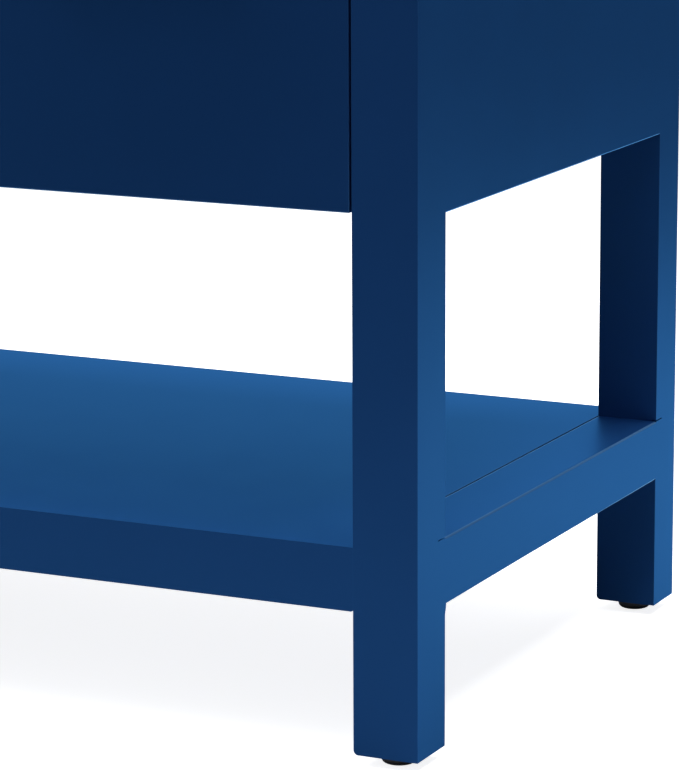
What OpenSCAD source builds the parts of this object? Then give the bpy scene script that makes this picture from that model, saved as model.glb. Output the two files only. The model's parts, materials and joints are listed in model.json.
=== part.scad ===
// Bathroom vanity cabinet on four square legs, with an open bottom shelf, two inset
// doors on the left and a bank of two drawers on the right. It has no countertop.
// Millimetres, +Z up, front facing -Y, origin on the floor under the middle of the
// whole outline.

/* [Overall size] */
// Width over the legs
cabinet_w = 1219; // [1160:1:1524]
// Depth from the front of the legs to the wall
cabinet_d = 546; // [540:1:600]
// Height from the floor to the top of the rails
cabinet_h = 851; // [840:1:900]

/* [Legs and feet] */
// Width of a leg across the front
leg_w = 54; // [48:1:64]
// Depth of a front leg from front to back
front_leg_d = 51; // [46:0.5:56]
// Depth of a back leg from front to back
back_leg_d = 45.5; // [42:0.5:56]
// Rounding of the inner bottom edge of a leg
leg_bottom_r = 4; // [1:0.5:8]
// Height of the glide below a leg at rest
foot_h = 9; // [7:0.5:14]
// Diameter of a glide
foot_dia = 28; // [22:1:34]

/* [Open shelf] */
// Underside of the four shelf rails
shelf_rail_bottom = 122.5; // [80:0.5:160]
// Top of the shelf panel and of its front and back rails
shelf_top = 173; // [165:0.5:220]
// Step of the side rails above the shelf panel
side_rail_step = 1.5; // [0:0.5:4]
// Thickness of the shelf panel
shelf_t = 18; // [12:1:25]

/* [Cabinet box] */
// Underside of the side panels
side_bottom = 426; // [400:1:450]
// Step of the doors and drawer fronts above the side panels
front_step = 3.5; // [1:0.5:6]
// Thickness of the side panels and of the partition
panel_t = 18; // [12:1:22]
// Thickness of the cabinet floor and of the inner shelf
floor_t = 15; // [12:1:18]
// Thickness of the back panel
back_t = 8; // [4:1:10]
// Height of the top rail across the front
top_rail_h = 30; // [20:1:40]
// Width of the upright between the doors and the drawers
stile_w = 38; // [36:1:60]

/* [Doors and drawers] */
// Thickness of the doors, drawer fronts and front rails
front_t = 20; // [18:1:22]
// Gap between a front and the frame round it
front_gap = 2; // [1.5:0.5:3]
// Gap between two fronts that meet
meeting_gap = 3; // [2:0.5:4]
// Width of the drawer fronts
drawer_front_w = 390; // [340:1:420]
// Height of the lower drawer front
lower_front_h = 232; // [220:1:240]
// Depth of the drawer boxes behind their fronts
drawer_box_d = 460; // [440:1:470]
// Height of the lower drawer box
lower_box_h = 180; // [120:1:185]
// Height of the upper drawer box
upper_box_h = 115; // [80:1:118]

/* [Hardware] */
// Distance that a pull stands out from its front
pull_out = 34; // [26:1:34]
// Overall length of a pull
pull_l = 168; // [140:1:180]
// Spacing of the two posts of a pull
pull_post_gap = 128; // [96:1:128]
// Length of the drawer slides
slide_l = 450; // [430:1:455]
// Height of a hinge
hinge_h = 64; // [50:1:80]

/* [Hidden] */
$fn = 64;
navy = [0.07, 0.19, 0.37];
birch = [0.80, 0.66, 0.47];
brass = [0.72, 0.56, 0.32];
steel = [0.70, 0.71, 0.73];
black = [0.05, 0.05, 0.055];

// The frame's main planes, measured from the middle of the width, the front face and the floor.
half_w = cabinet_w / 2;
leg_in = half_w - leg_w;
side_in = half_w - panel_t;
back_in = cabinet_d - back_t;
back_legs = cabinet_d - back_leg_d;
front_y = (pull_out - cabinet_d) / 2;
top_rail_z = cabinet_h - top_rail_h;
wall_rail_t = 18;
wall_rail_h = 90;
wall_rail_y = back_in - wall_rail_t;
floor_z = side_bottom + 6;
floor_top = floor_z + floor_t;
floor_front = front_t + 2;

// Fronts.
fronts_z = side_bottom + front_step;
fronts_top = top_rail_z - front_gap;
lower_top = fronts_z + lower_front_h;
upper_z = lower_top + meeting_gap;
drawer_x1 = leg_in - front_gap;
drawer_x0 = drawer_x1 - drawer_front_w;
stile_x1 = drawer_x0 - front_gap;
stile_x0 = stile_x1 - stile_w;
partition_x0 = stile_x1 - panel_t;
door_mid = (stile_x0 - leg_in) / 2;
door_half = (stile_x0 + leg_in) / 2;
door_w = door_half - front_gap - meeting_gap / 2;

// Legs and feet. The kerf is the saw cut that shows above each side rail's shoulder.
kerf_h = 1;
kerf_l = 13;
kerf_d = 5;
stem_r = 4;
stem_l = 30;
sleeve_r = 6;
sleeve_l = 20;
foot_bore_l = 46;
foot_rim_r = 4;
running = 0.05;

// Open shelf.
side_rail_top = shelf_top + side_rail_step;
rail_end_r = 2;
toe_w = 2;
toe_h = 8;
batten_w = 40;

// Corner blocks, wall fixing and plumbing.
block_leg = 92;
block_t = 18;
block_inset = 26;
screw_r = 2.5;
wall_screw_r = 3;
wall_screw_x = 203.2;
wall_screw_z = cabinet_h - 45;
plumbing_w = 300;
plumbing_h = 150;
plumbing_z = 600;

// Inner shelf on pins, in two rows of pin holes on each side.
pin_r = 2.5;
pin_l = 18;
pin_hole_l = 9;
pin_pitch = 32;
pin_rows = [front_leg_d + 55, back_legs - 55];
pin_heights = [for (i = [-2:2]) 552 + i * pin_pitch];
inner_shelf_z = pin_heights[2] + pin_r;
shelf_play = 1;

// Hinges: the pin stands in front of the gap between the door and its frame.
hinge_r = 3;
hinge_pin_r = 1.5;
hinge_out = 3.2;
leaf_t = front_gap / 2 - 0.1;
leaf_w = 18;
knuckle_gap = 0.4;
hinge_z = [fronts_z + 60, fronts_top - 60];
hinge_x = door_half - front_gap / 2;

// Pulls.
pull_r = 5;
post_r = 4;
rose_r = 7;
rose_t = 2;
door_pull_x = meeting_gap / 2 + 36;
door_pull_z = fronts_top - 40 - pull_l / 2;
lower_pull_z = lower_top - 36;
upper_pull_z = (upper_z + fronts_top) / 2;

// Magnetic catch behind the meeting edges of the doors.
catch_w = 60;
catch_t = 16;
strike_t = 1;
catch_gap = 0.4;

// Drawer boxes and slides. A slide fills the space between the box and the cabinet.
slide_t = 12.7;
slide_h = 45;
sheet = 1.2;
box_board = 13;
box_bottom_t = 6;
groove = 6;
bottom_up = 10;
box_x0 = stile_x1 + slide_t;
box_x1 = leg_in - slide_t;
box_y1 = front_t + drawer_box_d;
lower_box_z = floor_top + 9;
upper_box_z = upper_z + 19;
lower_slide_z = lower_box_z + 45;
upper_slide_z = upper_box_z + 35;
slide_y0 = front_t + 3;

// ---- Helpers -------------------------------------------------------------------------

// Sets a part drawn from the front face at y = 0 into the part's own frame.
module placed() translate([0, front_y, 0]) children();

// A board between two opposite corners.
module board(lo, hi) translate(lo) cube([hi[0] - lo[0], hi[1] - lo[1], hi[2] - lo[2]]);

// Right-hand shapes as drawn, left-hand ones mirrored (side is 1 or -1).
module handed(side) {
    if (side > 0) children();
    else mirror([1, 0, 0]) children();
}

// Front corners as drawn, back ones mirrored front to back (row is 0 or 1).
module cornered(side, row) {
    handed(side)
        if (row == 0) children();
        else translate([0, cabinet_d, 0]) mirror([0, 1, 0]) children();
}

// Doors are drawn as the right-hand one, measured from the line where they meet.
module door_handed(side) placed() translate([door_mid, 0, 0]) handed(side) children();

// A flat outline drawn in X and Z, given a depth towards +Y.
module upright(depth) translate([0, depth, 0]) rotate([90, 0, 0]) linear_extrude(depth) children();

// ---- Legs and feet -------------------------------------------------------------------

module leg_outline() {
    translate([leg_in, foot_h + leg_bottom_r]) square([leg_w, cabinet_h - foot_h - leg_bottom_r]);
    translate([leg_in + leg_bottom_r, foot_h]) square([leg_w - leg_bottom_r, leg_bottom_r]);
    translate([leg_in + leg_bottom_r, foot_h + leg_bottom_r]) circle(leg_bottom_r);
}

// Depth of the legs in a row (0 is the front, 1 the back).
function leg_d(row) = row == 0 ? front_leg_d : back_leg_d;

module foot_at(row) translate([leg_in + leg_w / 2, leg_d(row) / 2, 0]) children();

module leg(side, row) color(navy) placed() cornered(side, row) difference() {
    upright(leg_d(row)) leg_outline();
    foot_at(row) translate([0, 0, foot_h - 1]) cylinder(r = sleeve_r, h = foot_bore_l + 1);
    board([half_w - kerf_d, leg_d(row) - kerf_l, side_rail_top],
          [half_w + 1, leg_d(row) + 1, side_rail_top + kerf_h]);
}

module foot_sleeves() color(steel) placed()
    for (side = [-1, 1], row = [0, 1])
        cornered(side, row) foot_at(row) translate([0, 0, foot_h + 0.5]) difference() {
            cylinder(r = sleeve_r, h = sleeve_l);
            translate([0, 0, -1]) cylinder(r = stem_r + running, h = sleeve_l + 2);
        }

module foot_outline() {
    translate([0, foot_rim_r]) square([foot_dia / 2, foot_h - foot_rim_r]);
    square([foot_dia / 2 - foot_rim_r, foot_rim_r]);
    intersection() {
        translate([foot_dia / 2 - foot_rim_r, foot_rim_r]) circle(foot_rim_r);
        square([foot_dia, foot_h]);
    }
    translate([0, foot_h - 1]) square([stem_r, stem_l + 1]);
}

module foot(side, row) color(black) placed() cornered(side, row) foot_at(row)
    rotate_extrude() foot_outline();

// ---- Open shelf ----------------------------------------------------------------------

// The rail's lower corners are eased where they meet the legs.
module shelf_long_rail_outline() {
    translate([-leg_in, shelf_rail_bottom + rail_end_r])
        square([2 * leg_in, shelf_top - shelf_rail_bottom - rail_end_r]);
    translate([rail_end_r - leg_in, shelf_rail_bottom]) square([2 * (leg_in - rail_end_r), rail_end_r]);
    for (side = [-1, 1])
        translate([side * (leg_in - rail_end_r), shelf_rail_bottom + rail_end_r]) circle(rail_end_r);
}

module shelf_long_rail(row) color(navy) placed() cornered(1, row)
    upright(front_t) shelf_long_rail_outline();

// A small toe under the front shoulder of a side rail fills the corner against the leg.
module rail_toe() rotate([90, 0, 90]) linear_extrude(leg_w)
    polygon([[0, 1], [toe_w, 1], [toe_w, 0], [0.8 * toe_w, -toe_h / 2], [0, -toe_h]]);

module shelf_side_rail(side) color(navy) placed() handed(side) {
    board([leg_in, front_leg_d, shelf_rail_bottom], [half_w, back_legs, side_rail_top]);
    translate([leg_in, front_leg_d, shelf_rail_bottom]) rail_toe();
}

module shelf_panel() color(navy) placed()
    board([-leg_in, front_t, shelf_top - shelf_t], [leg_in, cabinet_d - front_t, shelf_top]);

module shelf_battens() color(navy) placed()
    for (x = [-leg_in / 3, leg_in / 3])
        board([x - batten_w / 2, front_t, shelf_rail_bottom + 5],
              [x + batten_w / 2, cabinet_d - front_t, shelf_top - shelf_t]);

// ---- Cabinet box ---------------------------------------------------------------------

module pin_holes(face_x, direction)
    for (y = pin_rows, z = pin_heights)
        translate([face_x, y, z]) rotate([0, 90 * direction, 0])
            translate([0, 0, -pin_hole_l]) cylinder(r = pin_r, h = pin_hole_l + 1);

module side_panel(side) color(navy) placed() difference() {
    handed(side) board([side_in, front_leg_d, side_bottom], [half_w, back_legs, cabinet_h]);
    if (side < 0) pin_holes(-side_in, 1);
}

module partition() color(navy) placed() difference() {
    board([partition_x0, front_t, floor_top], [stile_x1, back_in, cabinet_h]);
    board([partition_x0 - 1, wall_rail_y, cabinet_h - wall_rail_h], [stile_x1 + 1, back_in + 1, cabinet_h + 1]);
    pin_holes(partition_x0, -1);
}

module center_stile() color(navy) placed()
    board([stile_x0, 0, fronts_z], [stile_x1, front_t, top_rail_z]);

module cabinet_floor() color(navy) placed() {
    board([-leg_in, floor_front, floor_z], [leg_in, back_in, floor_top]);
    for (side = [-1, 1])
        handed(side) board([leg_in - 1, front_leg_d, floor_z], [side_in, back_legs, floor_top]);
}

module wall_screw_holes()
    for (side = [-1, 1])
        translate([side * wall_screw_x, wall_rail_y - 1, wall_screw_z])
            rotate([-90, 0, 0]) cylinder(r = wall_screw_r, h = cabinet_d);

module back_panel() color(navy) placed() difference() {
    board([-leg_in, back_in, floor_z], [leg_in, cabinet_d, cabinet_h]);
    board([door_mid - plumbing_w / 2, back_in - 1, plumbing_z],
          [door_mid + plumbing_w / 2, cabinet_d + 1, plumbing_z + plumbing_h]);
    wall_screw_holes();
}

module top_rail_front() color(navy) placed()
    board([-leg_in, 0, top_rail_z], [leg_in, front_t, cabinet_h]);

module top_rail_back() color(navy) placed() difference() {
    board([-leg_in, wall_rail_y, cabinet_h - wall_rail_h], [leg_in, back_in, cabinet_h]);
    wall_screw_holes();
}

module corner_block(depth) translate([0, 0, cabinet_h - block_t]) difference() {
    linear_extrude(block_t)
        polygon([[leg_in, depth], [leg_in, depth + block_leg], [leg_in - block_leg, depth]]);
    translate([leg_in - block_inset, depth + block_inset, -1]) cylinder(r = screw_r, h = block_t + 2);
}

module corner_blocks() color(navy) placed()
    for (side = [-1, 1]) {
        cornered(side, 0) corner_block(front_t);
        cornered(side, 1) corner_block(back_t + wall_rail_t);
    }

module slide_packers() color(birch) placed()
    for (z = [lower_slide_z, upper_slide_z])
        board([leg_in, front_leg_d, z - 26], [side_in, back_legs, z + 26]);

module inner_shelf() color(navy) placed()
    board([shelf_play - side_in, front_leg_d + 4, inner_shelf_z],
          [partition_x0 - shelf_play, back_legs - 4, inner_shelf_z + floor_t]);

module shelf_pins() color(steel) placed()
    for (y = pin_rows) {
        translate([-side_in - pin_hole_l + 1, y, pin_heights[2]])
            rotate([0, 90, 0]) cylinder(r = pin_r, h = pin_l);
        translate([partition_x0 + pin_hole_l - 1, y, pin_heights[2]])
            rotate([0, -90, 0]) cylinder(r = pin_r, h = pin_l);
    }

// ---- Pulls ---------------------------------------------------------------------------

// A round bar on two posts, lying along X, with its front fixed at y = 0.
module bar_pull() color(brass) {
    translate([-pull_l / 2, pull_r - pull_out, 0]) rotate([0, 90, 0]) cylinder(r = pull_r, h = pull_l);
    for (side = [-1, 1])
        translate([side * pull_post_gap / 2, 0, 0]) rotate([90, 0, 0]) {
            cylinder(r = post_r, h = pull_out - pull_r);
            cylinder(r = rose_r, h = rose_t);
        }
}

// ---- Doors, hinges and catch ---------------------------------------------------------

module door(side) color(navy) door_handed(side)
    board([meeting_gap / 2, 0, fronts_z], [door_half - front_gap, front_t, fronts_top]);

module door_pull(side) door_handed(side)
    translate([door_pull_x, 0, door_pull_z]) rotate([0, 90, 0]) bar_pull();

// One knuckle round the hinge pin, from z0 to z1, with a tab that runs back to its leaf.
module knuckle(z0, z1, tab_x) {
    difference() {
        union() {
            translate([hinge_x, -hinge_out, z0]) cylinder(r = hinge_r, h = z1 - z0);
            board([tab_x, -hinge_out, z0], [tab_x + leaf_t, 1, z1]);
        }
        translate([hinge_x, -hinge_out, z0 - 1]) cylinder(r = hinge_pin_r + running, h = z1 - z0 + 2);
    }
}

knuckle_h = hinge_h / 3;

module hinge_frame_leaves(side) color(brass) door_handed(side)
    for (z = hinge_z) {
        board([door_half - leaf_t, 0, z - hinge_h / 2], [door_half, leaf_w, z + hinge_h / 2]);
        for (end = [-1, 1])
            translate([0, 0, z + end * (hinge_h - knuckle_h) / 2])
                knuckle(-knuckle_h / 2, knuckle_h / 2, door_half - leaf_t);
    }

module hinge_door_leaves(side) color(brass) door_handed(side)
    for (z = hinge_z) {
        board([door_half - front_gap, 0, z - hinge_h / 2],
              [door_half - front_gap + leaf_t, leaf_w, z + hinge_h / 2]);
        knuckle(z - knuckle_h / 2 + knuckle_gap, z + knuckle_h / 2 - knuckle_gap, door_half - front_gap);
    }

module hinge_pins() color(brass)
    for (side = [-1, 1], z = hinge_z)
        door_handed(side) translate([hinge_x, -hinge_out, z - hinge_h / 2 - 2]) {
            cylinder(r = hinge_pin_r, h = hinge_h + 4);
            cylinder(r = hinge_r - 0.4, h = 2);
            translate([0, 0, hinge_h + 2]) cylinder(r = hinge_r - 0.4, h = 2);
        }

module magnetic_catch() color(black) placed() translate([door_mid - catch_w / 2, 0, 0]) {
    board([0, front_t, top_rail_z], [catch_w, front_t + catch_t, top_rail_z + 22]);
    board([0, front_t + strike_t + catch_gap, fronts_top - 28], [catch_w, front_t + catch_t, top_rail_z]);
}

module strike_plate(side) color(steel) door_handed(side)
    board([6, front_t, fronts_top - 26], [26, front_t + strike_t, fronts_top - 6]);

// ---- Drawers -------------------------------------------------------------------------

module drawer_front(z0, z1) color(navy) placed() board([drawer_x0, 0, z0], [drawer_x1, front_t, z1]);

module drawer_pull(z) placed() translate([(drawer_x0 + drawer_x1) / 2, 0, z]) bar_pull();

// The bottom of a box is held in a groove that runs round its four boards.
module box_bottom_space(z, tuck)
    board([box_x0 + box_board - tuck, front_t + box_board - tuck, z + bottom_up],
          [box_x1 - box_board + tuck, box_y1 - box_board + tuck, z + bottom_up + box_bottom_t]);

module box_side(side, z, h) color(birch) placed() difference() {
    translate([side < 0 ? box_x0 : box_x1 - box_board, front_t, z]) cube([box_board, drawer_box_d, h]);
    box_bottom_space(z, groove);
}

module box_end(y, z, h) color(birch) placed() difference() {
    translate([box_x0 + box_board, y, z]) cube([box_x1 - box_x0 - 2 * box_board, box_board, h]);
    box_bottom_space(z, groove);
}

module box_bottom(z) color(birch) placed() box_bottom_space(z, groove);

// A channel with its web at x = web and its lips running from lip_x0 to lip_x1.
module channel(web, lip_x0, lip_x1, half_h, y0, length) translate([0, y0, 0]) {
    translate([web, 0, -half_h]) cube([sheet, length, 2 * half_h]);
    for (z = [-half_h, half_h - sheet])
        translate([lip_x0, 0, z]) cube([lip_x1 - lip_x0, length, sheet]);
}

// Both slides of a drawer, drawn from the cabinet's face at x = 0 towards the drawer.
module slide_pair(z) color(steel) placed() {
    translate([stile_x1, 0, z]) children();
    translate([leg_in, 0, z]) mirror([1, 0, 0]) children();
}

module slide_cabinet(z) slide_pair(z) channel(0, 0, 9.5, slide_h / 2, slide_y0, slide_l);
module slide_middle(z) slide_pair(z) channel(5, 2.2, 10.5, slide_h / 2 - 3, slide_y0 + 4, slide_l - 6);
module slide_drawer(z) slide_pair(z)
    channel(slide_t - sheet, 7.2, slide_t, slide_h / 2 - 6, slide_y0, slide_l - 2);

// ---- What is drawn -------------------------------------------------------------------

leg(-1, 0);  // leg_front_left
leg(1, 0);  // leg_front_right
leg(-1, 1);  // leg_back_left
leg(1, 1);  // leg_back_right
foot_sleeves();
foot(-1, 0);  // foot_front_left
foot(1, 0);  // foot_front_right
foot(-1, 1);  // foot_back_left
foot(1, 1);  // foot_back_right
shelf_long_rail(0);  // shelf_rail_front
shelf_long_rail(1);  // shelf_rail_back
shelf_side_rail(-1);  // shelf_rail_left
shelf_side_rail(1);  // shelf_rail_right
shelf_panel();
shelf_battens();
side_panel(-1);  // side_panel_left
side_panel(1);  // side_panel_right
cabinet_floor();
back_panel();
top_rail_front();
top_rail_back();
corner_blocks();
center_stile();
partition();
slide_packers();
inner_shelf();
shelf_pins();
door(-1);  // door_left
door(1);  // door_right
door_pull(-1);  // door_pull_left
door_pull(1);  // door_pull_right
hinge_frame_leaves(-1);  // hinge_frame_leaves_left
hinge_frame_leaves(1);  // hinge_frame_leaves_right
hinge_door_leaves(-1);  // hinge_door_leaves_left
hinge_door_leaves(1);  // hinge_door_leaves_right
hinge_pins();
magnetic_catch();
strike_plate(-1);  // strike_plate_left
strike_plate(1);  // strike_plate_right
drawer_front(upper_z, fronts_top);  // upper_drawer_front
drawer_pull(upper_pull_z);  // upper_drawer_pull
box_side(-1, upper_box_z, upper_box_h);  // upper_box_left
box_side(1, upper_box_z, upper_box_h);  // upper_box_right
box_end(front_t, upper_box_z, upper_box_h);  // upper_box_front
box_end(box_y1 - box_board, upper_box_z, upper_box_h);  // upper_box_back
box_bottom(upper_box_z);  // upper_box_bottom
slide_cabinet(upper_slide_z);  // upper_slide_cabinet
slide_middle(upper_slide_z);  // upper_slide_middle
slide_drawer(upper_slide_z);  // upper_slide_drawer
drawer_front(fronts_z, lower_top);  // lower_drawer_front
drawer_pull(lower_pull_z);  // lower_drawer_pull
box_side(-1, lower_box_z, lower_box_h);  // lower_box_left
box_side(1, lower_box_z, lower_box_h);  // lower_box_right
box_end(front_t, lower_box_z, lower_box_h);  // lower_box_front
box_end(box_y1 - box_board, lower_box_z, lower_box_h);  // lower_box_back
box_bottom(lower_box_z);  // lower_box_bottom
slide_cabinet(lower_slide_z);  // lower_slide_cabinet
slide_middle(lower_slide_z);  // lower_slide_middle
slide_drawer(lower_slide_z);  // lower_slide_drawer
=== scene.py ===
import json
import math

import bmesh
import bpy
from mathutils import Euler, Matrix, Vector
from mathutils.bvhtree import BVHTree


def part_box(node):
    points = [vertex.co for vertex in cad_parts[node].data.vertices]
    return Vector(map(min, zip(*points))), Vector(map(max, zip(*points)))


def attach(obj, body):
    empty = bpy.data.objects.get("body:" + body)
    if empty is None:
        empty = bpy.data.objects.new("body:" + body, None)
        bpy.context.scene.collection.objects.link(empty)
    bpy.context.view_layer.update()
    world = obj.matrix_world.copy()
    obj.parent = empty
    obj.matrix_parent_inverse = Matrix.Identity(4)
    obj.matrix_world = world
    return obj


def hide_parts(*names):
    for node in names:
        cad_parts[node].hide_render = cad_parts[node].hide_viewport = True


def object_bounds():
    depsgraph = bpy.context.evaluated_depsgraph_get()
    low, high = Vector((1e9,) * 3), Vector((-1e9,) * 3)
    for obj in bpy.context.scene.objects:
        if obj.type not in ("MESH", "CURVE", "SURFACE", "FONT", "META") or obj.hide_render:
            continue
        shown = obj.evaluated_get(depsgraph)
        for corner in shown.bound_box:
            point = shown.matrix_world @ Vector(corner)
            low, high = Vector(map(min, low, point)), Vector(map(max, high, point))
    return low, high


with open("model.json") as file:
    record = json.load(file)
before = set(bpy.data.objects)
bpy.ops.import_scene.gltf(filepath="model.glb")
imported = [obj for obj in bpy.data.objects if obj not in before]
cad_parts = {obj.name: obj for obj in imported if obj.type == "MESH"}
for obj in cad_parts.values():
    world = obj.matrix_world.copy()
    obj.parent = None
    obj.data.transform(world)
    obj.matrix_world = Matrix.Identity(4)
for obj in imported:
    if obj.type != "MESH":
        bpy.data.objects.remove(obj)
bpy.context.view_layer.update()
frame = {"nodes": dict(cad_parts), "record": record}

NODES = frame["nodes"]
BODY_OF = {n: b for b, ns in frame["record"]["behaviour"]["bodies"].items() for n in ns}
SLOT_OF = {s["node"]: s["material_slot"] for s in frame["record"]["subparts"]}

# Lengths are in metres; a number times MM is a number of millimetres.
MM = 0.001


# ---- Camera --------------------------------------------------------------------------

LENS_MM = 178.15
SENSOR_MM = 36.0

# Degrees: below the horizon, to the left of straight back, and about the line of sight.
CAMERA_DOWN = 12.01
CAMERA_TURN = 25.63
CAMERA_ROLL = 0.24

# Metres: to the right of the cabinet's side, in front of its legs, and above the floor.
CAMERA_ASIDE = 1.14857
CAMERA_AHEAD = 2.52862
CAMERA_HEIGHT = 0.89479


def make_camera():
    """A long lens looking down on the lower right-hand corner, from the front right."""
    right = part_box("leg_front_right")[1].x
    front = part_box("leg_front_right")[0].y
    data = bpy.data.cameras.new("camera")
    data.sensor_width = SENSOR_MM
    data.lens = LENS_MM
    camera = bpy.data.objects.new("camera", data)
    camera.location = (right + CAMERA_ASIDE, front - CAMERA_AHEAD, CAMERA_HEIGHT)
    facing = Euler((math.radians(90 - CAMERA_DOWN), 0, math.radians(CAMERA_TURN))).to_matrix()
    roll = Matrix.Rotation(-math.radians(CAMERA_ROLL), 3, "Z")
    camera.rotation_euler = (facing @ roll).to_euler()
    bpy.context.scene.collection.objects.link(camera)
    bpy.context.scene.camera = camera


# ---- Node helpers --------------------------------------------------------------------
# An owner is a material or the world: anything with a node tree.

def new_material(name):
    """A material with its Principled shader, and nothing set on it yet."""
    material = bpy.data.materials.new(name)
    material.use_nodes = True
    nodes = material.node_tree.nodes
    nodes.clear()
    output = nodes.new("ShaderNodeOutputMaterial")
    shader = nodes.new("ShaderNodeBsdfPrincipled")
    material.node_tree.links.new(shader.outputs[0], output.inputs[0])
    return material, shader


def add(owner, kind, links=None, **settings):
    """A node of the given kind, with its properties or sockets set and its inputs linked."""
    tree = owner.node_tree
    node = tree.nodes.new("ShaderNode" + kind)
    for key, value in settings.items():
        if key in node.inputs:
            node.inputs[key].default_value = value
        else:
            setattr(node, key, value)
    for socket, source in (links or {}).items():
        tree.links.new(source, node.inputs[socket])
    return node


def ramp(owner, source, stops):
    """A colour ramp: stops are (place, colour) pairs."""
    node = add(owner, "ValToRGB", {"Fac": source})
    elements = node.color_ramp.elements
    while len(elements) < len(stops):
        elements.new(0.5)
    for element, (place, colour) in zip(elements, stops):
        element.position = place
        element.color = (*colour, 1)
    return node.outputs["Color"]


def remap(owner, source, start, end, low, high):
    """Turns start..end into low..high, and stays at low or high outside that range."""
    node = add(owner, "MapRange", {"Value": source})
    ends = {"From Min": start, "From Max": end, "To Min": low, "To Max": high}
    for socket, value in ends.items():
        node.inputs[socket].default_value = value
    return node.outputs[0]


def calculate(owner, operation, *terms):
    """A Math node whose terms are sockets or plain numbers."""
    node = add(owner, "Math", operation=operation)
    for i, term in enumerate(terms):
        if isinstance(term, bpy.types.NodeSocket):
            owner.node_tree.links.new(term, node.inputs[i])
        else:
            node.inputs[i].default_value = term
    return node.outputs[0]


def coordinates(material, scale=(1, 1, 1)):
    """Each piece's own coordinates, stretched by scale."""
    texture = add(material, "TexCoord")
    return add(material, "Mapping", {"Vector": texture.outputs["Object"]}, Scale=scale).outputs["Vector"]


def noise(material, vector, scale, detail=3.0, roughness=0.5):
    """Grey noise from 0 to 1."""
    return add(material, "TexNoise", {"Vector": vector}, Scale=scale, Detail=detail,
               Roughness=roughness).outputs["Fac"]


def bump(material, height, distance, strength):
    """A normal from a height that runs from 0 to 1; distance is its depth in metres."""
    return add(material, "Bump", {"Height": height}, Distance=distance,
               Strength=strength).outputs["Normal"]


# ---- Materials -----------------------------------------------------------------------

# How much of the paint is gloss, from square on (0) to edge on (1), and the gloss's tint.
FACE_GLOSS = [(0.0, 0.035), (0.12, 0.04), (0.58, 0.15), (0.79, 0.34), (0.9, 0.42), (1.0, 0.65)]
FACE_TINT = (0.075, 0.40, 1.0, 1)
EDGE_GLOSS = [(0.0, 0.05), (0.12, 0.06), (0.56, 0.40), (0.79, 0.55), (0.9, 0.80), (1.0, 1.0)]
EDGE_TINT = (0.13, 0.47, 1.0, 1)
RAIL_EDGE_GLOSS = [(0.0, 0.05), (0.12, 0.06), (0.56, 0.15), (0.79, 0.65), (0.9, 0.95), (1.0, 1.0)]
RAIL_EDGE_TINT = (0.26, 0.60, 1.0, 1)

# The paint's colour and roughness, on its faces and on their eased edges; the edge colours are lighter,
# as a painted highlight.
NAVY = (0.0061, 0.0300, 0.113)
NAVY_EDGE_HIGHLIGHT = (0.0140, 0.0560, 0.180)
NAVY_RAIL_EDGE_HIGHLIGHT = (0.0180, 0.0680, 0.200)
NAVY_FRONT = (0.0052, 0.0255, 0.098)
NAVY_FRONT_EDGE_HIGHLIGHT = (0.0085, 0.0390, 0.137)
FACE_ROUGHNESS = 0.37
EDGE_ROUGHNESS = 0.30

# Dark, middle and light tones of the wood.
BIRCH_TONES = ((0.37, 0.24, 0.130), (0.47, 0.33, 0.195), (0.55, 0.41, 0.270))
END_GRAIN_TONES = ((0.20, 0.12, 0.065), (0.26, 0.17, 0.095), (0.31, 0.21, 0.125))
ALONG_X = 0
ALONG_Y = 1


def navy_paint(name, base, roughness, by_slant=FACE_GLOSS, tint=FACE_TINT):
    """Satin sprayed paint: navy when seen square on, with a bluer gloss at a slant."""
    material, shader = new_material(name)
    tree = material.node_tree
    place = coordinates(material)
    dark, light = ([part * level for part in base] for level in (0.95, 1.05))
    cloud = noise(material, place, scale=3.0)
    tree.links.new(ramp(material, cloud, [(0.35, dark), (0.65, light)]), shader.inputs["Base Color"])
    shader.inputs["Roughness"].default_value = 0.5
    shader.inputs["Specular IOR Level"].default_value = 0.0
    orange_peel = noise(material, place, scale=300.0, detail=2.0)
    peel = bump(material, orange_peel, distance=0.00004, strength=0.2)
    tree.links.new(peel, shader.inputs["Normal"])
    patches = noise(material, place, scale=25.0)
    rough = remap(material, patches, 0.0, 1.0, roughness - 0.03, roughness + 0.03)
    gloss = add(material, "BsdfAnisotropic", {"Normal": peel, "Roughness": rough}, Color=tint)
    slant = add(material, "LayerWeight", Blend=0.5)
    share = ramp(material, slant.outputs["Facing"], [(at, (level,) * 3) for at, level in by_slant])
    mix = add(material, "MixShader", {"Fac": share, 1: shader.outputs[0], 2: gloss.outputs[0]})
    output = next(n for n in tree.nodes if n.type == "OUTPUT_MATERIAL")
    tree.links.new(mix.outputs[0], output.inputs["Surface"])
    return material


def birch(name, along, tones=BIRCH_TONES):
    """Lacquered birch, with its grain along one axis."""
    material, shader = new_material(name)
    tree = material.node_tree
    broad, fine = [7.0] * 3, [110.0] * 3
    broad[along], fine[along] = 0.8, 5.0
    rings = add(material, "TexWave", {"Vector": coordinates(material, broad)},
                bands_direction="DIAGONAL", Scale=1.4, Distortion=5.0, Detail=3.0)
    fibre = noise(material, coordinates(material, fine), scale=1.0, detail=6.0, roughness=0.6)
    figure = calculate(material, "MULTIPLY_ADD", rings.outputs["Fac"], 0.22, fibre)
    dark, middle, light = tones
    colour = ramp(material, figure, [(0.35, dark), (0.62, middle), (0.85, light)])
    tree.links.new(colour, shader.inputs["Base Color"])
    shader.inputs["Roughness"].default_value = 0.42
    pores = bump(material, fibre, distance=0.0001, strength=0.35)
    tree.links.new(pores, shader.inputs["Normal"])
    return material


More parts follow.
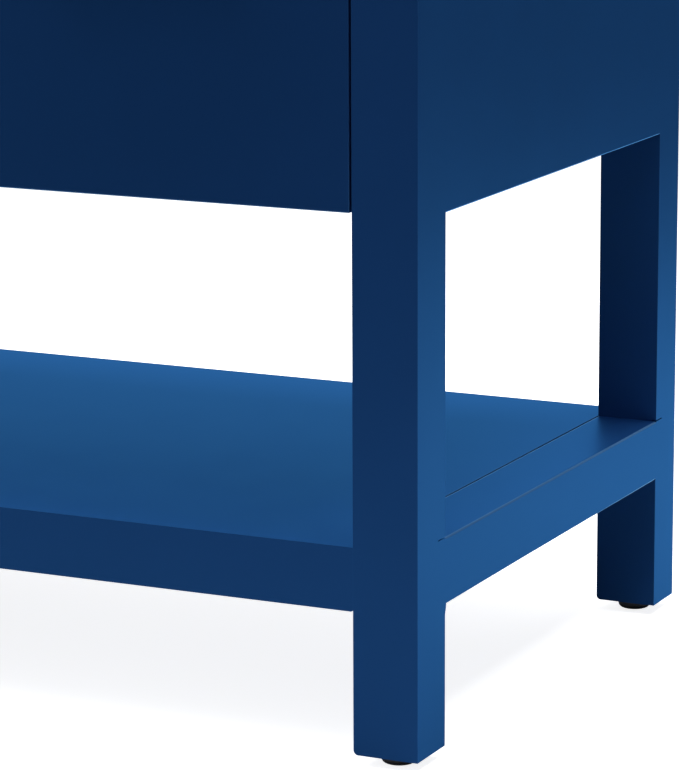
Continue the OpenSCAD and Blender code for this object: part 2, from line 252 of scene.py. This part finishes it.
def brushed_metal(name, colour, dark, roughness):
    """Metal with fine streaks along X, in its tint, roughness and relief."""
    material, shader = new_material(name)
    tree = material.node_tree
    place = coordinates(material, (6, 60, 60))
    streaks = noise(material, place, scale=30.0, detail=4.0, roughness=0.65)
    tint = ramp(material, streaks, [(0.3, dark), (0.7, colour)])
    tree.links.new(tint, shader.inputs["Base Color"])
    shader.inputs["Metallic"].default_value = 1.0
    rough = remap(material, streaks, 0.0, 1.0, roughness - 0.06, roughness + 0.08)
    tree.links.new(rough, shader.inputs["Roughness"])
    scratches = bump(material, streaks, distance=0.00003, strength=0.4)
    tree.links.new(scratches, shader.inputs["Normal"])
    return material


def black_plastic():
    """Black plastic with a fine moulded grain."""
    material, shader = new_material("black_plastic")
    tree = material.node_tree
    grain = noise(material, coordinates(material), scale=900.0, detail=2.0)
    colour = ramp(material, grain, [(0.3, (0.010, 0.010, 0.012)), (0.7, (0.016, 0.016, 0.019))])
    tree.links.new(colour, shader.inputs["Base Color"])
    shader.inputs["Roughness"].default_value = 0.5
    texture = bump(material, grain, distance=0.00008, strength=0.5)
    tree.links.new(texture, shader.inputs["Normal"])
    return material


def make_materials():
    """For each look, the material of its faces and then, for paint, that of its eased edges, whose
    lighter colour is a painted highlight.
    """
    return {
        "navy_paint": [
            navy_paint("navy_paint", NAVY, FACE_ROUGHNESS),
            navy_paint("navy_paint_edge_highlight", NAVY_EDGE_HIGHLIGHT, EDGE_ROUGHNESS, EDGE_GLOSS, EDGE_TINT),
        ],
        # The side rails' edges get the lightest edge colour, as a painted highlight along the shelf
        # seam.
        "rail_paint_highlit_edges": [
            navy_paint("navy_paint_rails", NAVY, FACE_ROUGHNESS),
            navy_paint("navy_paint_rails_edge_highlight", NAVY_RAIL_EDGE_HIGHLIGHT, EDGE_ROUGHNESS,
                       RAIL_EDGE_GLOSS, RAIL_EDGE_TINT),
        ],
        "front_paint": [
            navy_paint("navy_paint_fronts", NAVY_FRONT, FACE_ROUGHNESS),
            navy_paint("navy_paint_fronts_edge_highlight", NAVY_FRONT_EDGE_HIGHLIGHT, EDGE_ROUGHNESS,
                       EDGE_GLOSS, EDGE_TINT),
        ],
        "birch": [birch("birch", ALONG_Y)],
        "cross_birch": [birch("cross_birch", ALONG_X)],
        "brass": [brushed_metal("brass", (0.66, 0.47, 0.23), (0.56, 0.38, 0.17), 0.3)],
        "zinc_steel": [brushed_metal("zinc_steel", (0.66, 0.67, 0.69), (0.56, 0.57, 0.60), 0.3)],
        "black_plastic": [black_plastic()],
    }


# ---- Boards and fittings carried over from the frame ---------------------------------

# How far edges are eased in each material, in millimetres.
EASE = {"navy_paint": 0.9, "birch": 0.8, "brass": 0.3, "zinc_steel": 0.15, "black_plastic": 0.5}
SIDE_RAIL_EASE = 1.4
SHELF_EASE = 0.4
BEVEL_SEGMENTS = 3

# Only edges longer than this are eased.
SHORT = 10 * MM
SHORT_IN_FITTINGS = 1.5 * MM

# A turn below FLAT is no edge at all, and one above SHARP is an edge to ease. What lies
# between them is a facet of a round face, if the face is also smaller than ROUND_FACET.
FLAT = math.radians(0.4)
SHARP = math.radians(30)
ROUND_FACET = 300 * MM * MM

# How far past an edge to look for a neighbour.
SKIN = 0.3 * MM

# How close vertices are to each other, to a level or to a side before they count as on it.
WELD = 0.002 * MM
ON_A_LEVEL = 0.0001 * MM
ON_A_SIDE = 0.01 * MM

# The shadow gap between the shelf panel and each side rail.
SHELF_GAP = 3.5 * MM

FRONTS = ("upper_drawer_front", "lower_drawer_front", "door_left", "door_right")
CROSS_GRAIN = ("_box_front", "_box_back", "_box_bottom")
FITTINGS = ("brass", "zinc_steel", "black_plastic")


def solid_tree(node):
    """A CAD node's faces, for looking up the nearest one."""
    mesh = NODES[node].data
    return BVHTree.FromPolygons([v.co for v in mesh.vertices], [p.vertices for p in mesh.polygons])


def near(a, b, gap):
    """True where the boxes of two nodes are no more than gap apart."""
    lo_a, hi_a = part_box(a)
    lo_b, hi_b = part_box(b)
    return all(lo_a[i] - gap <= hi_b[i] and lo_b[i] - gap <= hi_a[i] for i in range(3))


def inside(point, trees):
    """True where the point is behind the nearest face of one of the solids."""
    for tree in trees:
        spot, normal, _, _ = tree.find_nearest(point)
        if spot is not None and (point - spot).dot(normal) < 0:
            return True
    return False


def flush(edge, trees):
    """True where the surface runs on past the edge into a neighbour in the same plane."""
    middle = (edge.verts[0].co + edge.verts[1].co) / 2
    one, two = (f.normal for f in edge.link_faces)
    return inside(middle + (one - two) * SKIN, trees) or inside(middle + (two - one) * SKIN, trees)


def turn_at(edge):
    """The angle between the two faces at an edge."""
    return edge.calc_face_angle(0.0) if len(edge.link_faces) == 2 else 0.0


def clean_mesh(node):
    """A copy of a CAD node's mesh, with the triangles of its flat faces joined up."""
    mesh = bmesh.new()
    mesh.from_mesh(NODES[node].data)
    bmesh.ops.remove_doubles(mesh, verts=mesh.verts, dist=WELD)
    bmesh.ops.dissolve_limit(mesh, angle_limit=FLAT, verts=mesh.verts, edges=mesh.edges)
    return mesh


def cut_at(mesh, levels):
    """Cuts the faces at each height, so that an edge can be eased on one side of the cut only."""
    for height in levels:
        everything = mesh.verts[:] + mesh.edges[:] + mesh.faces[:]
        bmesh.ops.bisect_plane(mesh, geom=everything, dist=ON_A_LEVEL, plane_co=(0, 0, height),
                               plane_no=(0, 0, 1))


def move_sides_in(mesh, node, inset):
    """Moves a board's left-hand and right-hand faces in."""
    lo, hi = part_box(node)
    for vert in mesh.verts:
        if vert.co.x < lo.x + ON_A_SIDE:
            vert.co.x += inset
        elif vert.co.x > hi.x - ON_A_SIDE:
            vert.co.x -= inset


def dress(node, look, flush_with=None, levels=(), ease=None, shortest=SHORT, inset=0.0):
    """A copy of a CAD node with eased edges, apart from those that run flush into a neighbour.

    flush_with names the neighbours. Without it they are all the nodes on its body whose
    boxes come within a millimetre of its own. levels are heights to cut the faces at first,
    and inset makes a shadow gap at its left-hand and right-hand faces.
    """
    body = BODY_OF[node]
    if flush_with is None:
        flush_with = [n for n, b in BODY_OF.items() if b == body and n != node and near(n, node, MM)]
    trees = [solid_tree(n) for n in flush_with]
    mesh = clean_mesh(node)
    cut_at(mesh, levels)
    move_sides_in(mesh, node, inset)
    mesh.normal_update()
    for face in mesh.faces:
        facet = any(FLAT < turn_at(e) < SHARP for e in face.edges)
        face.smooth = facet and face.calc_area() < ROUND_FACET
    eased = [e for e in mesh.edges if turn_at(e) > SHARP and e.is_convex
             and e.calc_length() > shortest and not flush(e, trees)]
    width = (EASE[SLOT_OF[node]] if ease is None else ease) * MM
    if eased:
        # The bevel faces take the look's last material: for paint, the lighter edge colour, a painted
        # highlight.
        made = bmesh.ops.bevel(mesh, geom=eased, offset=width, offset_type="OFFSET",
                               segments=BEVEL_SEGMENTS, profile=0.5, affect="EDGES",
                               clamp_overlap=True, material=len(look) - 1)
        for face in made["faces"]:
            face.smooth = True
    return finish_piece(mesh, node + "_piece", body, look, SLOT_OF[node], node)


def finish_piece(mesh, name, body, look, slot, *replaced):
    """Turns a bmesh into a piece that rides on a body; look lists its materials."""
    data = bpy.data.meshes.new(name)
    mesh.to_mesh(data)
    mesh.free()
    for material in look:
        data.materials.append(material)
    piece = bpy.data.objects.new(name, data)
    bpy.context.scene.collection.objects.link(piece)
    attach(piece, body)
    if replaced:
        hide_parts(*replaced)
    return piece


def dress_all():
    """Carries every CAD node over as a piece; the pulls are built anew."""
    rail_lo, rail_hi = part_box("shelf_rail_right")
    levels = (rail_lo.z, rail_hi.z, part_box("side_panel_right")[0].z)
    for node in NODES:
        slot = "front_paint" if node in FRONTS else SLOT_OF[node]
        if node.endswith(CROSS_GRAIN):
            slot = "cross_birch"
        if node.endswith("_pull") or node.startswith("door_pull"):
            bar_pull(node)
        elif node.startswith("leg_"):
            side = node.rsplit("_", 1)[1]
            dress(node, MATERIALS[slot], ["shelf_rail_" + side, "side_panel_" + side], levels)
        elif node in ("shelf_rail_left", "shelf_rail_right"):
            # The side rails' eased edges carry the lightest edge colour: a painted highlight.
            dress(node, MATERIALS["rail_paint_highlit_edges"], ease=SIDE_RAIL_EASE)
        elif node == "shelf_panel":
            dress(node, MATERIALS[slot], ["shelf_rail_front", "shelf_rail_back"], ease=SHELF_EASE,
                  inset=SHELF_GAP)
        elif slot in FITTINGS:
            dress(node, MATERIALS[slot], shortest=SHORT_IN_FITTINGS)
        else:
            dress(node, MATERIALS[slot])


# ---- Turned pulls --------------------------------------------------------------------

PULL_RADIUS = 5 * MM
PULL_POST_GAP = 128 * MM
PULL_STEPS = 40

# Millimetres. The groove near each end of the bar is (distance from the end, change of
# radius), and the post is (distance from the front, radius), from its rose to the bar.
PULL_END_EASE = 1.2
PULL_GROOVE = [(7.0, 0.0), (7.3, -0.35), (8.1, -0.35), (8.4, 0.0)]
PULL_POST = [(0, 6.8), (0.2, 7), (1.3, 7), (1.7, 6.9), (1.95, 6.6), (2, 5.4), (2.3, 4.9),
             (2.9, 4.45), (3.8, 4.15), (5, 4), (23, 4), (25.5, 4.1), (27.5, 4.4), (29, 4.8)]


def held(profile, hold=0.15):
    """The profile with an extra ring just inside each end of its long stretches."""
    rings = [profile[0]]
    for start, end in zip(profile, profile[1:]):
        length = math.dist(start, end)
        if length > 4 * hold:
            for share in (hold / length, 1 - hold / length):
                rings.append(tuple(a + (b - a) * share for a, b in zip(start, end)))
        rings.append(end)
    return rings


def lathe(mesh, profile, place, axis, steps):
    """Adds a turned solid: profile gives (distance along the axis, radius) pairs in millimetres."""
    turn = Vector((0, 0, 1)).rotation_difference(Vector(axis)).to_matrix()
    rings = []
    for along, radius in held(profile):
        spokes = [2 * math.pi * i / steps for i in range(steps)]
        ring = [Vector((radius * math.cos(a), radius * math.sin(a), along)) * MM for a in spokes]
        rings.append([mesh.verts.new(Vector(place) + turn @ spot) for spot in ring])
    mesh.faces.new(rings[0][::-1])
    mesh.faces.new(rings[-1])
    for low, high in zip(rings, rings[1:]):
        for face in band(mesh, low, high):
            face.smooth = True


def band(mesh, low, high):
    """The faces between two closed loops of as many vertices."""
    count = len(low)
    faces = []
    for i in range(count):
        k = (i + 1) % count
        faces.append(mesh.faces.new((low[i], low[k], high[k], high[i])))
    return faces


def rounded_end(radius, ease, steps=5):
    """The profile of a bar's end, from its flat face out to its full radius."""
    turns = [math.pi / 2 * i / steps for i in range(steps + 1)]
    return [(ease * (1 - math.cos(t)), radius - ease * (1 - math.sin(t))) for t in turns]


def bar_pull(node):
    """A turned bar with rounded, grooved ends on two posts that flare into roses."""
    lo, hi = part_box(node)
    middle = (lo + hi) / 2
    axis = Vector((1, 0, 0)) if hi.x - lo.x > hi.z - lo.z else Vector((0, 0, 1))
    length = max(hi.x - lo.x, hi.z - lo.z) / MM
    bar_y = lo.y + PULL_RADIUS
    centre = Vector((middle.x, bar_y, middle.z))
    radius = PULL_RADIUS / MM
    end = rounded_end(radius, PULL_END_EASE)
    end += [(along, radius + change) for along, change in PULL_GROOVE]
    profile = end + [(length - along, r) for along, r in reversed(end)]
    mesh = bmesh.new()
    lathe(mesh, profile, centre - axis * length / 2 * MM, axis, PULL_STEPS)
    for sign in (-1, 1):
        foot = centre + axis * sign * PULL_POST_GAP / 2
        lathe(mesh, PULL_POST, (foot.x, hi.y, foot.z), (0, -1, 0), PULL_STEPS)
    finish_piece(mesh, node + "_piece", BODY_OF[node], MATERIALS["brass"], "brass", node)


# ---- Screws --------------------------------------------------------------------------

# A screw head's rings, as (share of its radius, share of its height), out to in.
HEAD_STEPS = 24
HEAD_RIM = (1.0, 0.0)
HEAD_SHOULDER = (0.93, 0.8)
HEAD_CROWN = (0.80, 1.0)

# Its cross recess: the reach and half width of an arm, as shares of the head's radius, then
# the size of the bottom as a share of the top's, and its height as a share of the head's.
RECESS_REACH = 0.56
RECESS_HALF = 0.13
PIT_SIZE = 0.8
PIT_HEIGHT = 0.15

# How far the hinge's leaves reach above and below their middle, how thick they are, and how
# far behind the door's face their screws are.
HINGE_HALF = 34 * MM
LEAF_T = 0.9 * MM
LEAF_SCREW_BACK = 12 * MM

# (radius, height) of the screw heads, and their places, all in millimetres.
LEAF_SCREW = (3.2, 0.09)
LEAF_SCREW_STEPS = (-22, 0, 22)
PLATE_SCREW = (2.4, 0.3)
PLATE_SCREW_STEPS = (-6, 6)
BOX_SCREW = (4.0, 0.9)

# Places of the screws in a drawer box's front, as shares of its width and height.
BOX_SCREWS_ACROSS = (0.18, 0.82)
BOX_SCREWS_UP = (0.35, 0.75)


def screw_head(mesh, place, axis, radius, proud):
    """A screw head with a cross recess; radius and proud, its height, are in millimetres. The recess is
    coloured black as painted shade.
    """
    turn = Vector((0, 0, 1)).rotation_difference(Vector(axis)).to_matrix()

    def ring(points, height):
        return [mesh.verts.new(Vector(place) + turn @ Vector((x, y, height)) * MM) for x, y in points]

    spokes = [2 * math.pi * i / HEAD_STEPS for i in range(HEAD_STEPS)]
    circle = [(math.cos(a), math.sin(a)) for a in spokes]
    rim, shoulder, crown = (ring([(out * radius * x, out * radius * y) for x, y in circle], up * proud)
                            for out, up in (HEAD_RIM, HEAD_SHOULDER, HEAD_CROWN))
    for face in band(mesh, rim, shoulder) + band(mesh, shoulder, crown):
        face.smooth = True
    arm, half = RECESS_REACH * radius, RECESS_HALF * radius
    corner = [(arm, -half), (arm, half), (half, half)]
    cross = []
    for quarter in range(4):
        c, s = round(math.cos(quarter * math.pi / 2)), round(math.sin(quarter * math.pi / 2))
        cross += [(c * x - s * y, s * x + c * y) for x, y in corner]
    lip = ring(cross, proud)
    pit = ring([(PIT_SIZE * x, PIT_SIZE * y) for x, y in cross], PIT_HEIGHT * proud)
    # The recess faces take the second material, black, as painted shade in the recess.
    for face in band(mesh, lip, pit) + [mesh.faces.new(pit)]:
        face.material_index = 1
    loops = [mesh.edges.get((lap[i], lap[(i + 1) % len(lap)])) for lap in (crown, lip)
             for i in range(len(lap))]
    bmesh.ops.triangle_fill(mesh, use_beauty=True, use_dissolve=False, edges=loops)


def screws(node, slot, spots, radius, proud):
    """Screw heads at the given (place, axis) spots, as one piece that rides with a node."""
    mesh = bmesh.new()
    for place, axis in spots:
        screw_head(mesh, place, axis, radius, proud)
    bmesh.ops.recalc_face_normals(mesh, faces=mesh.faces)
    # The black plastic here is painted shade in the screws' cross recesses, not a real part.
    look = [MATERIALS[slot][0], MATERIALS["black_plastic"][0]]
    finish_piece(mesh, node + "_screws", BODY_OF[node], look, slot)


def hinge_screws():
    """Three low-headed screws in each leaf of the hinges."""
    pins_lo, pins_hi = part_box("hinge_pins")
    heights = (pins_lo.z + HINGE_HALF, pins_hi.z - HINGE_HALF)
    frames = {"left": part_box("leg_front_left")[1].x, "right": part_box("center_stile")[0].x}
    for side, sign in (("left", -1), ("right", 1)):
        door_lo, door_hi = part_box("door_" + side)
        door_x = door_lo.x if sign < 0 else door_hi.x
        for leaf, x, out in (("frame", frames[side] - sign * LEAF_T, -sign),
                             ("door", door_x + sign * LEAF_T, sign)):
            spots = [((x, door_lo.y + LEAF_SCREW_BACK, z + step * MM), (out, 0, 0))
                     for z in heights for step in LEAF_SCREW_STEPS]
            screws("hinge_" + leaf + "_leaves_" + side, "brass", spots, *LEAF_SCREW)


def plate_and_box_screws():
    """Two screws in each strike plate, and four that hold each drawer's front to its box."""
    for side in ("left", "right"):
        node = "strike_plate_" + side
        lo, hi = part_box(node)
        spots = [(((lo.x + hi.x) / 2 + step * MM, hi.y, (lo.z + hi.z) / 2), (0, 1, 0))
                 for step in PLATE_SCREW_STEPS]
        screws(node, "zinc_steel", spots, *PLATE_SCREW)
    for drawer in ("upper", "lower"):
        node = drawer + "_box_front"
        lo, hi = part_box(node)
        spots = [((lo.x + (hi.x - lo.x) * across, hi.y, lo.z + (hi.z - lo.z) * up), (0, 1, 0))
                 for across in BOX_SCREWS_ACROSS for up in BOX_SCREWS_UP]
        screws(node, "zinc_steel", spots, *BOX_SCREW)


# ---- Ball rows and dovetails ---------------------------------------------------------

# Millimetres: where the two kinds of rows of balls start, as (in from the cabinet member's
# outer face, up or down from its middle, back from its front end), and the step in a row.
BALL_ROWS = ((6.0, 20.4, 320), (9.2, 17.4, 25))
BALL_PITCH = 10
BALLS_IN_ROW = 12
BALL_RADIUS = 0.85 * MM
CAGE_SIZE = (4.4 * MM, 120 * MM, 0.5 * MM)

# Millimetres: half of a pin's height at the corner of the box and at its inner end, and how
# far its solid goes into the side and stands out of it.
PIN_OUTER_HALF = 3.0
PIN_INNER_HALF = 5.2
PIN_DEPTHS = (-0.5, 0.05)

# The first pin's place above the side's lower edge, the step from pin to pin, and the least
# distance from a pin's middle to the side's upper edge and to the slide.
FIRST_PIN = 14 * MM
PIN_PITCH = 24 * MM
PIN_TO_EDGE = 8 * MM
PIN_TO_SLIDE = 6 * MM


def ball_row(mesh, x, y, z):
    """A row of balls in its cage, from y towards the back."""
    for i in range(BALLS_IN_ROW):
        spot = Matrix.Translation((x, y + (BALL_PITCH / 2 + BALL_PITCH * i) * MM, z))
        ball = bmesh.ops.create_icosphere(mesh, subdivisions=2, radius=BALL_RADIUS, matrix=spot)
        for vert in ball["verts"]:
            for face in vert.link_faces:
                face.smooth = True
    middle = Matrix.Translation((x, y + BALLS_IN_ROW * BALL_PITCH / 2 * MM, z))
    bmesh.ops.create_cube(mesh, size=1.0, matrix=middle @ Matrix.Diagonal((*CAGE_SIZE, 1)))


def ball_cages():
    """The rows of balls, in their cages, between the members of each slide."""
    for drawer in ("upper", "lower"):
        lo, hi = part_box(drawer + "_slide_cabinet")
        centre_z = (lo.z + hi.z) / 2
        mesh = bmesh.new()
        for face, sign in ((lo.x, 1), (hi.x, -1)):
            for across, rise, start in BALL_ROWS:
                for up in (-1, 1):
                    ball_row(mesh, face + sign * across * MM, lo.y + start * MM,
                             centre_z + up * rise * MM)
        finish_piece(mesh, drawer + "_ball_cages", drawer + "_runners", MATERIALS["zinc_steel"],
                     "zinc_steel")


def pin_end(mesh, face, sign, height, outer, inner):
    """The end of one dovetail pin: a thin wedge let into the side, between outer and inner."""
    outline = ((outer, -PIN_OUTER_HALF), (outer, PIN_OUTER_HALF),
               (inner, PIN_INNER_HALF), (inner, -PIN_INNER_HALF))
    low, high = [[mesh.verts.new((face + sign * out * MM, y, height + z * MM)) for y, z in outline]
                 for out in PIN_DEPTHS]
    mesh.faces.new(low)
    mesh.faces.new(high[::-1])
    band(mesh, low, high)


def dovetails(end_grain):
    """End grain of the dovetail pins that shows on the sides of the drawer boxes."""
    for drawer in ("upper", "lower"):
        slide_lo, slide_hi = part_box(drawer + "_slide_cabinet")
        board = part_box(drawer + "_box_front")[1].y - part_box(drawer + "_box_front")[0].y
        mesh = bmesh.new()
        for side, sign in (("left", -1), ("right", 1)):
            lo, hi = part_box(drawer + "_box_" + side)
            face = lo.x if sign < 0 else hi.x
            height = lo.z + FIRST_PIN
            while height < hi.z - PIN_TO_EDGE:
                if not slide_lo.z - PIN_TO_SLIDE < height < slide_hi.z + PIN_TO_SLIDE:
                    pin_end(mesh, face, sign, height, lo.y, lo.y + board)
                    pin_end(mesh, face, sign, height, hi.y, hi.y - board)
                height += PIN_PITCH
        bmesh.ops.recalc_face_normals(mesh, faces=mesh.faces)
        finish_piece(mesh, drawer + "_dovetail_pins", drawer + "_drawer", [end_grain], "birch")


# ---- Studio --------------------------------------------------------------------------

# The floor is a disc. Its colour is pale up to FLOOR_PALE metres from its centre and dark
# from FLOOR_DARK on, so that its outer part throws little light back at the cabinet.
FLOOR_RADIUS = 9.0
FLOOR_CENTRE = (0.4, 0.5)
FLOOR_PALE = 1.2
FLOOR_DARK = 2.2
FLOOR_COLOURS = [(0.0, (0.92, 0.92, 0.92)), (1.0, (0.08, 0.08, 0.08))]

# A glow that only the camera sees, near the centre and further out. It keeps the floor white.
FLOOR_GLOW = (0.85, 1.1)

# Three factors of the sky's brightness as a light, by height, by depth and by side, each as
# (start, end, value at the start, value at the end). SKY_SWING moves the edge of the dim
# side further to the right towards the back. The camera sees BACKDROP in its place.
SKY_HEIGHT = (-0.10, -0.02, 0.10, 1.0)
SKY_DEPTH = (-0.6, 0.6, 0.80, 0.95)
SKY_SIDE = (0.10, 0.20, 1.0, 0.05)
SKY_SWING = -0.36
BACKDROP = 1.4

# Name, place, target, size in metres and power in watts.
LIGHTS = (("overhead", (1.0, 0.3, 3.2), (1.0, 0.3, 0), (2.6, 2.2), 120),
          ("front_left_box", (-1.5, -1.5, 3.2), (0, 0, 0.4), (1.6, 1.6), 38))


def make_floor():
    """A plain floor that looks pale all over, with the cabinet's faint shadow on it."""
    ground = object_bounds()[0].z
    mesh = bmesh.new()
    bmesh.ops.create_circle(mesh, cap_ends=True, segments=128, radius=FLOOR_RADIUS)
    data = bpy.data.meshes.new("floor")
    mesh.to_mesh(data)
    mesh.free()
    floor = bpy.data.objects.new("floor", data)
    floor.location = (*FLOOR_CENTRE, ground)
    bpy.context.scene.collection.objects.link(floor)
    material, shader = new_material("pale_floor")
    tree = material.node_tree
    place = coordinates(material)
    far = add(material, "VectorMath", {0: place}, operation="LENGTH").outputs["Value"]
    reach = remap(material, far, FLOOR_PALE, FLOOR_DARK, 0.0, 1.0)
    tree.links.new(ramp(material, reach, FLOOR_COLOURS), shader.inputs["Base Color"])
    shader.inputs["Roughness"].default_value = 0.9
    shader.inputs["Specular IOR Level"].default_value = 0.0
    shader.inputs["Emission Color"].default_value = (1, 1, 1, 1)
    path = add(material, "LightPath")
    glow = remap(material, reach, 0.0, 1.0, *FLOOR_GLOW)
    seen = calculate(material, "MULTIPLY", path.outputs["Is Camera Ray"], glow)
    tree.links.new(seen, shader.inputs["Emission Strength"])
    data.materials.append(material)


def make_world():
    """White all round for the camera; as a light, dim below the horizon and on the right."""
    world = bpy.data.worlds.new("studio")
    bpy.context.scene.world = world
    world.use_nodes = True
    tree = world.node_tree
    tree.nodes.clear()
    output = add(world, "OutputWorld")
    background = add(world, "Background")
    tree.links.new(background.outputs[0], output.inputs[0])
    place = add(world, "TexCoord")
    parts = add(world, "SeparateXYZ", {0: place.outputs["Generated"]}).outputs
    height = remap(world, parts["Z"], *SKY_HEIGHT)
    depth = remap(world, parts["Y"], *SKY_DEPTH)
    light = calculate(world, "MULTIPLY", height, depth)
    behind = calculate(world, "MAXIMUM", parts["Y"], 0.0)
    rightward = calculate(world, "MULTIPLY_ADD", behind, SKY_SWING, parts["X"])
    side = remap(world, rightward, *SKY_SIDE)
    sided = calculate(world, "MULTIPLY", light, side)
    path = add(world, "LightPath")
    strength = add(world, "Mix", {"Factor": path.outputs["Is Camera Ray"], "A": sided}, B=BACKDROP)
    tree.links.new(strength.outputs["Result"], background.inputs["Strength"])


def soft_light(name, place, target, size, power):
    """A rectangular area light that the camera doesn't see."""
    data = bpy.data.lights.new(name, "AREA")
    data.shape = "RECTANGLE"
    data.size, data.size_y = size
    data.energy = power
    light = bpy.data.objects.new(name, data)
    light.location = place
    light.rotation_euler = (Vector(target) - Vector(place)).to_track_quat("-Z", "Y").to_euler()
    light.visible_camera = False
    bpy.context.scene.collection.objects.link(light)


# ---- The object and its studio -------------------------------------------------------

make_camera()
MATERIALS = make_materials()
dress_all()
hinge_screws()
plate_and_box_screws()
ball_cages()
dovetails(birch("end_grain", ALONG_Y, END_GRAIN_TONES))
make_floor()
make_world()
for light_row in LIGHTS:
    soft_light(*light_row)
bpy.context.scene.view_settings.view_transform = "Standard"
